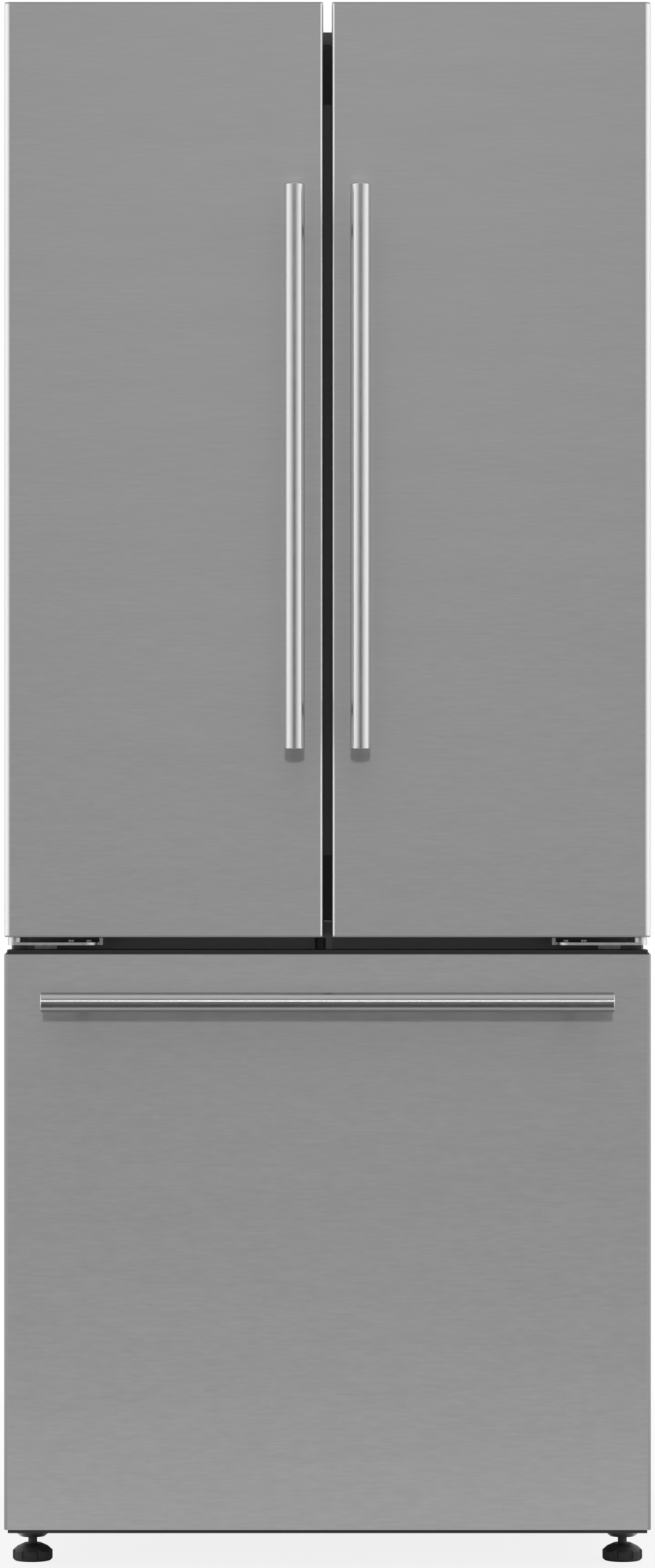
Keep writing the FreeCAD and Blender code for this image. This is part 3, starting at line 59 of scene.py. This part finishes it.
STEEL = {
    "colour": (0.55, 0.55, 0.555), "low": 0.44, "high": 0.5, "along": 0,
    "share": 0.06, "relief": 0.02, "anisotropic": 0.75,
}
HANDLE_STEEL = {"colour": (0.52, 0.52, 0.525), "low": 0.2, "high": 0.25, "share": 0.03, "relief": 0.002}
DOOR_EDGE_PAINTED_HIGHLIGHT = 0.74  # painted highlight: lighter grey on the doors' rounded vertical edges, standing in for the side light they reflect
# painted shade: darker grey on the drawer's rounded vertical edges, standing in for the darker reflection
# there
DRAWER_EDGE_PAINTED_SHADE = 0.3

SHARP_ANGLE = math.radians(35.0)
SCREW_RADIUS = 0.0042
SCREW_HEIGHT = 0.0024
BUTTON_PITCH = 0.036
SEAL_WIDTH = 0.012
FOLD_RADIUS = 0.0021

FLOOR_HALF = 4.0
FLOOR_WHITE = 0.85  # share of plain white in the floor that the camera sees
OVERHEAD_LEVEL = 0.8
KEY_STRENGTH = 0.14
KEY_ELEVATION = 17.0
KEY_SPREAD = 4.0
CAMERA_DISTANCE = 5.8
CAMERA_HEIGHT = 0.876
LENS = 119.7


# Shader graphs


class Graph:
    """Adds and links shader nodes, a line each."""

    def __init__(self, tree):
        self.tree = tree
        tree.nodes.clear()

    def put(self, socket, value):
        if isinstance(value, SOCKET):
            self.tree.links.new(value, socket)
        else:
            socket.default_value = value

    def node(self, kind, inputs, **settings):
        made = self.tree.nodes.new(kind)
        for name, value in settings.items():
            setattr(made, name, value)
        for name, value in inputs.items():
            self.put(made.inputs[name], value)
        return made

    def math(self, operation, a, b=0.0):
        return self.node("ShaderNodeMath", {0: a, 1: b}, operation=operation).outputs[0]

    def rescale(self, value, low, high, to_low, to_high, smooth=False):
        kind = "SMOOTHSTEP" if smooth else "LINEAR"
        ends = {"Value": value, "From Min": low, "From Max": high, "To Min": to_low, "To Max": to_high}
        return self.node("ShaderNodeMapRange", ends, interpolation_type=kind).outputs[0]

    def mix(self, factor, a, b):
        return self.node("ShaderNodeMix", {0: factor, 6: a, 7: b}, data_type="RGBA").outputs[2]

    def scaled(self, coord, scale):
        return self.node("ShaderNodeMapping", {"Vector": coord, "Scale": scale}).outputs[0]

    def noise(self, coord, scale, detail=2.0, roughness=0.5):
        inputs = {"Vector": self.scaled(coord, scale), "Scale": 1.0, "Detail": detail, "Roughness": roughness}
        return self.node("ShaderNodeTexNoise", inputs).outputs["Fac"]

    def cells(self, coord, scale):
        inputs = {"Vector": self.scaled(coord, scale), "Scale": 1.0}
        return self.node("ShaderNodeTexVoronoi", inputs).outputs["Distance"]

    def bump(self, height, strength, distance, normal=None):
        inputs = {"Height": height, "Strength": strength, "Distance": distance}
        if normal is not None:
            inputs["Normal"] = normal
        return self.node("ShaderNodeBump", inputs).outputs[0]


class Surface(Graph):
    """One Principled material, with its object coordinates at hand."""

    def __init__(self, name, colour, **constants):
        self.material = bpy.data.materials.new(name)
        self.material.use_nodes = True
        super().__init__(self.material.node_tree)
        output = self.node("ShaderNodeOutputMaterial", {})
        self.bsdf = self.node("ShaderNodeBsdfPrincipled", {})
        self.put(output.inputs["Surface"], self.bsdf.outputs[0])
        self.coord = self.node("ShaderNodeTexCoord", {}).outputs["Object"]
        self.colour = colour
        for socket, value in constants.items():
            self.set(socket, value)

    def set(self, socket, value):
        self.put(self.bsdf.inputs[socket.replace("_", " ")], value)

    def tint(self, amounts):
        """Base colour, darkened and lightened by (texture, share) pairs around its own value."""
        total = None
        for texture, share in amounts:
            part = self.rescale(texture, 0.25, 0.75, -share, share)
            total = part if total is None else self.math("ADD", total, part)
        dark = [c * 0.5 for c in self.colour] + [1.0]
        light = [min(c * 1.5, 1.0) for c in self.colour] + [1.0]
        self.set("Base_Color", self.mix(self.rescale(total, -0.5, 0.5, 0.0, 1.0), dark, light))

    def painted_edge_light_mask(self):
        """Mask for painted edge light, by the surface's normal: 1 on the rounded vertical edges, 0 on the
        flat front and sides, in object space.
        """
        normal = self.node("ShaderNodeTexCoord", {}).outputs["Normal"]
        across = self.math("ABSOLUTE", self.node("ShaderNodeSeparateXYZ", {0: normal}).outputs[0])
        rise = self.rescale(across, 0.12, 0.4, 0.0, 1.0, True)
        fall = self.rescale(across, 0.93, 0.995, 1.0, 0.0, True)
        return self.math("MULTIPLY", rise, fall)

    def rough(self, texture, low, high):
        self.set("Roughness", self.rescale(texture, 0.25, 0.75, low, high))


def brushed(name, colour, low, high, along, share=0.04, relief=0.02, anisotropic=0.0, edge=None):
    """Satin steel with fine scratches and short streaks along one axis; given an edge grey, painted light on
    its rounded edges: a lighter grey paints a highlight, a darker one paints shade.
    """
    s = Surface(name, colour, Metallic=1.0, Anisotropic=anisotropic, Anisotropic_Rotation=0.25)
    fine = [1400.0] * 3
    streak = [290.0] * 3
    broad = [30.0] * 3
    fine[along], streak[along], broad[along] = 22.0, 62.0, 3.0
    lines = s.noise(s.coord, fine, 3.0)
    dashes = s.noise(s.coord, streak, 2.0, 0.6)
    bands = s.noise(s.coord, broad, 2.0)
    s.tint([(dashes, share), (lines, share * 0.8), (bands, share * 0.25)])
    s.rough(dashes, low, high)
    # painted light: the edge grey is mixed over the base colour on the rounded edges, picked out by their
    # normal (lighter for the doors' painted highlight, darker for the drawer's painted shade)
    if edge:
        flat = s.bsdf.inputs["Base Color"].links[0].from_socket
        s.set("Base_Color", s.mix(s.painted_edge_light_mask(), flat, (edge, edge, edge * 1.005, 1.0)))
    s.set("Normal", s.bump(dashes, relief, 0.0001, s.bump(lines, relief, 0.00005)))
    if anisotropic:
        s.set("Tangent", s.node("ShaderNodeTangent", {}, direction_type="RADIAL", axis="Z").outputs[0])
    return s.material


def sheet_steel(name, colour, low, high):
    """Zinc plated or pressed steel: a faint spangle and rolling marks."""
    s = Surface(name, colour, Metallic=1.0)
    spangle = s.cells(s.coord, (160.0, 160.0, 160.0))
    rolled = s.noise(s.coord, (25.0, 25.0, 300.0), 3.0)
    cloud = s.noise(s.coord, (14.0, 14.0, 14.0), 3.0)
    s.tint([(spangle, 0.07), (rolled, 0.05), (cloud, 0.08)])
    s.rough(cloud, low, high)
    s.set("Normal", s.bump(rolled, 0.08, 0.0003))
    return s.material


def painted(name, colour, low, high, peel=900.0, depth=0.12):
    """Powder coat: fine orange peel, with slow changes of gloss."""
    s = Surface(name, colour)
    grain = s.noise(s.coord, (peel,) * 3, 2.0)
    cloud = s.noise(s.coord, (9.0,) * 3, 3.0)
    s.tint([(grain, 0.05), (cloud, 0.05)])
    s.rough(cloud, low, high)
    s.set("Normal", s.bump(grain, depth, 0.0004))
    return s.material


def moulded(name, colour, low, high, grain=1500.0, depth=0.08, share=0.03):
    """Injection moulded plastic: fine spark grain and faint flow marks."""
    s = Surface(name, colour, Specular_IOR_Level=0.5)
    fine = s.noise(s.coord, (grain,) * 3, 2.0)
    flow = s.noise(s.coord, (7.0, 7.0, 4.0), 4.0, 0.6)
    s.tint([(fine, share), (flow, share)])
    s.rough(flow, low, high)
    s.set("Normal", s.bump(fine, depth, 0.0003))
    return s.material


def clear(name, colour, low, high, alpha, ripple):
    """Clear plastic or glass with faint ripples in its surface."""
    s = Surface(name, colour, IOR=1.49, Alpha=alpha, Transmission_Weight=0.55)
    wave = s.noise(s.coord, (ripple,) * 3, 2.0)
    flow = s.noise(s.coord, (6.0, 6.0, 10.0), 3.0)
    s.tint([(flow, 0.04), (wave, 0.02)])
    s.rough(flow, low, high)
    s.set("Normal", s.bump(wave, 0.06, 0.0005))
    return s.material


def rubber(name, colour):
    """Door seal: soft, with the fine folds of its bellows."""
    s = Surface(name, colour, Sheen_Weight=0.15, Sheen_Roughness=0.4)
    folds = s.noise(s.coord, (30.0, 700.0, 30.0), 1.0)
    dust = s.noise(s.coord, (60.0,) * 3, 4.0, 0.7)
    s.tint([(folds, 0.08), (dust, 0.08)])
    s.rough(dust, 0.62, 0.8)
    s.set("Normal", s.bump(folds, 0.3, 0.0008))
    return s.material


def foamed(name, colour):
    """Rigid foam with its open cells."""
    s = Surface(name, colour)
    cell = s.cells(s.coord, (500.0,) * 3)
    cloud = s.noise(s.coord, (12.0,) * 3, 4.0)
    s.tint([(cell, 0.15), (cloud, 0.12)])
    s.rough(cloud, 0.85, 0.95)
    s.set("Normal", s.bump(cell, 0.5, 0.001))
    return s.material


def finned(name, colour):
    """Aluminium fins, pressed with a fine wave across them."""
    s = Surface(name, colour, Metallic=1.0)
    frost = s.noise(s.coord, (180.0,) * 3, 4.0, 0.6)
    wave = s.node("ShaderNodeTexWave", {"Vector": s.coord, "Scale": 90.0, "Distortion": 0.4}).outputs["Fac"]
    s.tint([(frost, 0.1), (wave, 0.04)])
    s.rough(frost, 0.32, 0.5)
    s.set("Normal", s.bump(wave, 0.15, 0.0004))
    return s.material


FINISHES = {
    # the doors' steel gets a painted highlight on its rounded vertical edges
    "stainless": brushed("stainless_brushed", edge=DOOR_EDGE_PAINTED_HIGHLIGHT, **STEEL),
    "handle_steel": brushed("handle_satin", along=2, **HANDLE_STEEL),
    "zinc_steel": sheet_steel("zinc_plated", (0.56, 0.57, 0.58), 0.3, 0.42),
    "rail_paint": painted("rail_powder_coat", (0.17, 0.17, 0.174), 0.38, 0.5),
    "cabinet_paint": painted("cabinet_powder_coat", (0.10, 0.10, 0.104), 0.4, 0.5, 700.0, 0.2),
    "white_plastic": moulded("liner_plastic", (0.84, 0.85, 0.85), 0.28, 0.4),
    "clear_plastic": clear("bin_plastic", (0.86, 0.91, 0.92), 0.06, 0.14, 0.55, 60.0),
    "black_plastic": moulded("black_plastic", (0.016, 0.016, 0.017), 0.38, 0.52, 1200.0, 0.2, 0.1),
    "grey_plastic": moulded("grey_plastic", (0.30, 0.30, 0.31), 0.4, 0.52, 1200.0, 0.15),
    "foam": foamed("rigid_foam", (0.80, 0.70, 0.45)),
    "seal_rubber": rubber("seal_rubber", (0.20, 0.20, 0.21)),
    "shelf_glass": clear("shelf_glass", (0.80, 0.90, 0.88), 0.03, 0.06, 0.45, 8.0),
    "coil_aluminium": finned("coil_aluminium", (0.72, 0.73, 0.74)),
    "black_steel": painted("compressor_paint", (0.02, 0.02, 0.021), 0.25, 0.4, 500.0, 0.25),
    "lens": moulded("light_lens", (0.93, 0.93, 0.90), 0.2, 0.3, 300.0, 0.15),
}
# the drawer's steel gets painted shade on its rounded vertical edges
FINISHES["drawer_steel"] = brushed("drawer_brushed", edge=DRAWER_EDGE_PAINTED_SHADE, **STEEL)
FINISHES["drawer_handle"] = brushed("drawer_handle_satin", along=0, **HANDLE_STEEL)


def dress(node, material):
    data = NODES[node].data
    data.materials.clear()
    data.materials.append(material)
    for polygon in data.polygons:
        polygon.material_index = 0


for row in frame["record"]["subparts"]:
    dress(row["node"], FINISHES[row["material_slot"]])
dress("drawer_handle", FINISHES["drawer_handle"])
dress("drawer_skin", FINISHES["drawer_steel"])


# Small pieces that the frame leaves out


def settle(name, made, body, slot):
    """Turn a finished bmesh into a smooth piece that rides on a body."""
    bmesh.ops.recalc_face_normals(made, faces=made.faces)
    mesh = bpy.data.meshes.new(name)
    made.to_mesh(mesh)
    made.free()
    for polygon in mesh.polygons:
        polygon.use_smooth = True
    mesh.set_sharp_from_angle(angle=SHARP_ANGLE)
    mesh.materials.append(FINISHES[slot])
    piece = bpy.data.objects.new(name, mesh)
    bpy.context.scene.collection.objects.link(piece)
    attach(piece, body)


def turned(made, profile, base, axis, sides=24):
    """A closed form of (radius, height) points turned about an axis, from its base."""
    axis = Vector(axis)
    right = axis.orthogonal().normalized()
    up = axis.cross(right)
    rings = []
    for radius, height in profile:
        middle = Vector(base) + axis * height
        if radius == 0:
            rings.append([made.verts.new(middle)])
            continue
        turns = [math.tau * n / sides for n in range(sides)]
        spokes = [(right * math.cos(t) + up * math.sin(t)) * radius for t in turns]
        rings.append([made.verts.new(middle + spoke) for spoke in spokes])
    for low, high in zip(rings, rings[1:]):
        for n in range(sides):
            m = (n + 1) % sides
            corners = [low[n % len(low)], low[m % len(low)], high[m % len(high)], high[n % len(high)]]
            made.faces.new(list(dict.fromkeys(corners)))


def screw_heads(name, body, slot, places, axis, radius, height):
    """Domed screw heads, each with a round drive recess."""
    profile = [
        (0.0, 0.0), (radius, 0.0), (radius, height * 0.35), (radius * 0.8, height * 0.85),
        (radius * 0.42, height), (radius * 0.36, height * 0.4), (0.0, height * 0.35),
    ]
    made = bmesh.new()
    for place in places:
        turned(made, profile, place, axis)
    settle(name, made, body, slot)


def cover_screws():
    """Screws down both sides and along the top of the machine cover."""
    low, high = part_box("machine_cover")
    inset = 0.008
    levels = [low.z + 0.02 + n * (high.z - low.z - 0.04) / 3 for n in range(4)]
    places = [(x, high.y, z) for x in (low.x + inset, high.x - inset) for z in levels]
    places += [(low.x + n * (high.x - low.x) / 6, high.y, high.z - inset) for n in range(1, 6)]
    out = (0, 1, 0)
    screw_heads("machine_cover_screws", "root", "zinc_steel", places, out, SCREW_RADIUS, SCREW_HEIGHT)


def panel_buttons():
    """Round push buttons, with dished tops, under the control panel."""
    low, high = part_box("control_panel")
    y = (low.y + high.y) / 2
    rim, drop = 0.009, 0.0018
    profile = [
        (0.0, 0.0), (rim, 0.0), (rim, drop * 0.6), (rim * 0.92, drop), (rim * 0.8, drop),
        (rim * 0.74, drop * 0.5), (rim * 0.66, drop * 1.1), (rim * 0.4, drop * 0.95), (0.0, drop * 0.85),
    ]
    made = bmesh.new()
    for n in range(-2, 3):
        turned(made, profile, (n * BUTTON_PITCH, y, low.z), (0, 0, -1), 32)
    settle("control_panel_buttons", made, "root", "grey_plastic")


def lens_ribs():
    """Fine prisms across the underside of the light's lens."""
    low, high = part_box("light_lens")
    edge, count, depth = 0.008, 26, 0.0012
    step = (high.x - low.x - 2 * edge) / count
    y0, y1 = low.y + edge, high.y - edge
    made = bmesh.new()
    for n in range(count):
        x = low.x + edge + n * step
        section = [(x, low.z), (x + step / 2, low.z - depth), (x + step * 0.98, low.z)]
        ends = [[made.verts.new((px, y, pz)) for px, pz in section] for y in (y0, y1)]
        made.faces.new(ends[0])
        made.faces.new(ends[1])
        for i in range(3):
            j = (i + 1) % 3
            made.faces.new([ends[0][i], ends[0][j], ends[1][j], ends[1][i]])
    settle("light_lens_ribs", made, "root", "lens")


def seal_bellows(node, body):
    """The soft folds along the inner side of a door seal, as rounded runs with mitred corners."""
    low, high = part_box(node)
    made = bmesh.new()
    sides = 10
    middle_x = (low.x + high.x) / 2
    middle_z = (low.z + high.z) / 2
    y = (low.y + high.y) / 2 - 0.0006
    for fold in range(2):
        inset = SEAL_WIDTH + FOLD_RADIUS * (0.7 + 1.7 * fold)
        corners = [
            (low.x + inset, low.z + inset), (high.x - inset, low.z + inset),
            (high.x - inset, high.z - inset), (low.x + inset, high.z - inset),
        ]
        rings = []
        for x, z in corners:
            out_x = 1 if x > middle_x else -1
            out_z = 1 if z > middle_z else -1
            ring = []
            for n in range(sides):
                turn = math.tau * n / sides
                out = FOLD_RADIUS * math.cos(turn)
                rise = FOLD_RADIUS * (1.0 - 0.25 * fold) * math.sin(turn)
                ring.append(made.verts.new((x + out * out_x, y + rise, z + out * out_z)))
            rings.append(ring)
        for n in range(4):
            here, there = rings[n], rings[(n + 1) % 4]
            for i in range(sides):
                j = (i + 1) % sides
                made.faces.new([here[i], here[j], there[j], there[i]])
    settle(node + "_bellows", made, body, "seal_rubber")


cover_screws()
panel_buttons()
lens_ribs()
seal_bellows("left_door_gasket", "left_door")
seal_bellows("right_door_gasket", "right_door")
seal_bellows("drawer_gasket", "freezer_drawer")


# Floor, world, lamps and camera


def floor():
    """A pale floor that fades into the background, and keeps the object's shadow."""
    low, high = CAD_BOX
    mesh = bpy.data.meshes.new("floor")
    made = bmesh.new()
    bmesh.ops.create_grid(made, x_segments=8, y_segments=8, size=FLOOR_HALF)
    made.to_mesh(mesh)
    made.free()
    plane = bpy.data.objects.new("floor", mesh)
    plane.location = ((low.x + high.x) / 2, high.y, low.z - 0.0005)
    bpy.context.scene.collection.objects.link(plane)
    material = bpy.data.materials.new("floor_pale")
    material.use_nodes = True
    g = Graph(material.node_tree)
    coord = g.node("ShaderNodeTexCoord", {}).outputs["Object"]
    middle = g.node("ShaderNodeMapping", {"Vector": coord, "Scale": (0.5, 0.72, 1.0)}).outputs[0]
    out = g.node("ShaderNodeVectorMath", {0: middle}, operation="LENGTH").outputs["Value"]
    shown = g.rescale(out, 0.55, 0.95, 1.0, 0.0, True)
    light = g.node("ShaderNodeLightPath", {})
    speck = g.noise(coord, (40.0,) * 3, 3.0)
    colour = g.mix(speck, (0.80, 0.80, 0.80, 1.0), (0.84, 0.84, 0.84, 1.0))
    lit = g.node("ShaderNodeBsdfDiffuse", {"Color": colour}).outputs[0]
    white = g.node("ShaderNodeEmission", {"Color": (1, 1, 1, 1), "Strength": 1.0}).outputs[0]
    seen = g.math("ADD", light.outputs["Is Camera Ray"], light.outputs["Is Transmission Ray"])
    part = g.math("MULTIPLY", seen, FLOOR_WHITE)
    body = g.node("ShaderNodeMixShader", {0: part, 1: lit, 2: white}).outputs[0]
    gone = g.node("ShaderNodeBsdfTransparent", {}).outputs[0]
    whole = g.node("ShaderNodeMixShader", {0: shown, 1: gone, 2: body}).outputs[0]
    g.put(g.node("ShaderNodeOutputMaterial", {}).inputs["Surface"], whole)
    mesh.materials.append(material)


def surroundings():
    """A studio: white behind the object and at its sides, and greyer behind the camera."""
    world = bpy.data.worlds.new("studio")
    bpy.context.scene.world = world
    world.use_nodes = True
    g = Graph(world.node_tree)
    toward = g.node("ShaderNodeTexCoord", {}).outputs["Generated"]
    axes = g.node("ShaderNodeSeparateXYZ", {0: toward}).outputs
    aside = g.math("ABSOLUTE", axes[0])
    front = g.rescale(aside, 0.08, 0.95, 0.2, 1.6)
    below = g.rescale(axes[2], -0.7, 0.0, 0.35, 1.0, True)
    above = g.rescale(axes[2], 0.4, 0.95, 0.0, 1.0, True)
    front = g.math("MULTIPLY", front, below)
    level = g.math("MULTIPLY", front, g.math("SUBTRACT", 1.0, above))
    front = g.math("ADD", level, g.math("MULTIPLY", above, OVERHEAD_LEVEL))
    back = g.rescale(axes[1], 0.1, 0.7, 0.0, 1.0, True)
    light = g.node("ShaderNodeLightPath", {})
    mirrored = g.math("MULTIPLY", light.outputs["Is Glossy Ray"], back)
    seen = g.math("ADD", light.outputs["Is Camera Ray"], light.outputs["Is Transmission Ray"])
    white = g.math("MAXIMUM", g.math("ADD", seen, mirrored), back)
    grey = g.node("ShaderNodeCombineColor", {0: front, 1: front, 2: front}).outputs[0]
    colour = g.mix(g.math("MINIMUM", white, 1.0), grey, (1.0, 1.0, 1.0, 1.0))
    shade = g.node("ShaderNodeBackground", {"Color": colour, "Strength": 1.0}).outputs[0]
    g.put(g.node("ShaderNodeOutputWorld", {}).inputs["Surface"], shade)


def key_lamp():
    """A soft key from in front of the object and a little above."""
    data = bpy.data.lights.new("key", "SUN")
    data.energy = KEY_STRENGTH
    data.angle = math.radians(KEY_SPREAD)
    lamp = bpy.data.objects.new("key", data)
    bpy.context.scene.collection.objects.link(lamp)
    lamp.rotation_euler = (math.radians(90.0 - KEY_ELEVATION), 0.0, 0.0)


def camera():
    """Level with the middle of the object, straight in front of the doors."""
    low, high = CAD_BOX
    door_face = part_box("left_door_skin")[0].y
    data = bpy.data.cameras.new("camera")
    data.sensor_width = 36.0
    data.lens = LENS
    data.clip_end = 100.0
    eye = bpy.data.objects.new("camera", data)
    bpy.context.scene.collection.objects.link(eye)
    eye.location = ((low.x + high.x) / 2, door_face - CAMERA_DISTANCE, CAMERA_HEIGHT)
    eye.rotation_euler = (math.radians(90.0), 0.0, 0.0)
    bpy.context.scene.camera = eye


floor()
surroundings()
key_lamp()
camera()
bpy.context.scene.view_settings.view_transform = "Standard"
